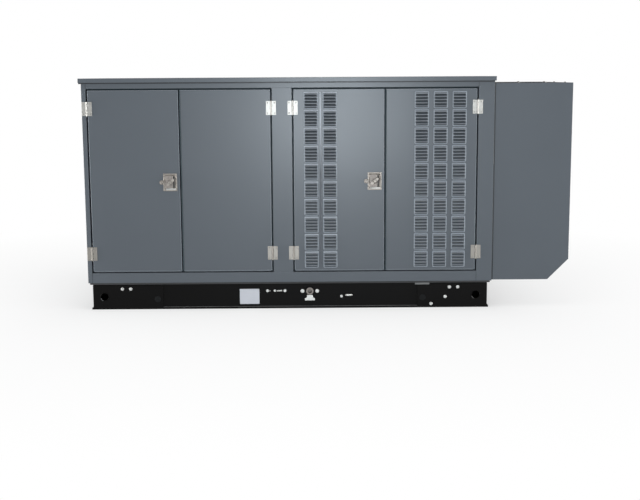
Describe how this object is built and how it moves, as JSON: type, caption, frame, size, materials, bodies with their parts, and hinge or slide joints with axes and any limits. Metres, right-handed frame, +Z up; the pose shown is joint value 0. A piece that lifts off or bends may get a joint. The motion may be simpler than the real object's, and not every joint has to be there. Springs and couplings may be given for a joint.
{
  "type": "enclosed standby gas generator",
  "caption": "Grey sheet-metal sound enclosure with louvred service doors and an end discharge hood, on a black steel skid, over a gas engine, alternator and radiator.",
  "frame": {"origin": "middle of the footprint, on the pad's surface", "axes": "+X along the set towards the discharge hood, -Y out of the service doors shown, +Z up"},
  "size_m": [2.857, 0.977, 1.357],
  "materials": {
    "alternator_paint": "satin enamel",
    "aluminised_steel": "aluminised",
    "cast_iron": "heat-stained casting",
    "control_grey": "light grey powder coat",
    "enclosure_grey": "semi-gloss grey powder coat",
    "engine_grey": "satin engine enamel",
    "galvanised": "zinc plated",
    "gas_pipe_grey": "satin grey enamel",
    "grille_dark": "satin dark grey",
    "hose_rubber": "matt moulded rubber",
    "machinery_black": "satin black",
    "moulded_black": "matt moulded",
    "skid_black": "satin black powder coat",
    "stainless": "brushed stainless"
  },
  "bodies": {
    "housing": {"rail_front": "skid_black", "rail_rear": "skid_black", "skid_end_left": "skid_black", "skid_end_right": "skid_black", "skid_cross_left": "skid_black", "skid_cross_right": "skid_black", "floor_plate": "skid_black", "post_front_left": "enclosure_grey", "post_front_mid": "enclosure_grey", "post_front_right": "enclosure_grey", "post_rear_left": "enclosure_grey", "post_rear_mid": "enclosure_grey", "post_rear_right": "enclosure_grey", "sill_front": "enclosure_grey", "sill_rear": "enclosure_grey", "header_front": "enclosure_grey", "header_rear": "enclosure_grey", "roof": "enclosure_grey", "end_panel": "enclosure_grey", "hood_side_front": "enclosure_grey", "hood_side_rear": "enclosure_grey", "hood_end": "enclosure_grey", "hood_grille": "grille_dark", "frame_hinges": "stainless", "rear_doors_left": "enclosure_grey", "rear_doors_right": "enclosure_grey", "rear_hinges": "stainless", "rear_latches": "stainless", "engine": "engine_grey", "engine_top": "moulded_black", "belt_drive": "moulded_black", "exhaust": "cast_iron", "muffler": "aluminised_steel", "alternator": "alternator_paint", "radiator": "machinery_black", "baffle_front": "machinery_black", "baffle_rear": "machinery_black", "fan": "moulded_black", "fan_ring": "machinery_black", "fan_shroud": "machinery_black", "coolant_hoses": "hose_rubber", "gas_inlet": "galvanised", "gas_train": "gas_pipe_grey", "battery": "moulded_black", "control_box": "control_grey"},
    "leaf_1": {"door_1": "enclosure_grey", "door_1_hinges": "stainless", "latch_1": "stainless"},
    "leaf_2": {"door_2": "enclosure_grey", "door_2_hinges": "stainless"},
    "leaf_3": {"door_3": "enclosure_grey", "door_3_hinges": "stainless", "latch_3": "stainless"},
    "leaf_4": {"door_4": "enclosure_grey", "door_4_hinges": "stainless"},
    "lever_1": {"handle_1": "stainless"},
    "lever_3": {"handle_3": "stainless"}
  },
  "joints": [
    {"name": "door_1_swing", "type": "hinge", "parent": "housing", "child": "leaf_1", "pos_m": [-1.3835, -0.476, 0.759], "axis": [0, 0, -1], "range_deg": [0, 110]},
    {"name": "door_2_swing", "type": "hinge", "parent": "housing", "child": "leaf_2", "pos_m": [-0.32081, -0.476, 0.759], "axis": [0, 0, 1], "range_deg": [0, 90]},
    {"name": "door_3_swing", "type": "hinge", "parent": "housing", "child": "leaf_3", "pos_m": [-0.19581, -0.476, 0.759], "axis": [0, 0, -1], "range_deg": [0, 90]},
    {"name": "door_4_swing", "type": "hinge", "parent": "housing", "child": "leaf_4", "pos_m": [0.8755, -0.476, 0.759], "axis": [0, 0, 1], "range_deg": [0, 110]},
    {"name": "handle_1_turn", "type": "hinge", "parent": "leaf_1", "child": "lever_1", "pos_m": [-0.91315, -0.4705, 0.756], "axis": [0, 1, 0], "range_deg": [0, 90]},
    {"name": "handle_3_turn", "type": "hinge", "parent": "leaf_3", "child": "lever_3", "pos_m": [0.27885, -0.4705, 0.756], "axis": [0, 1, 0], "range_deg": [0, 90]}
  ]
}
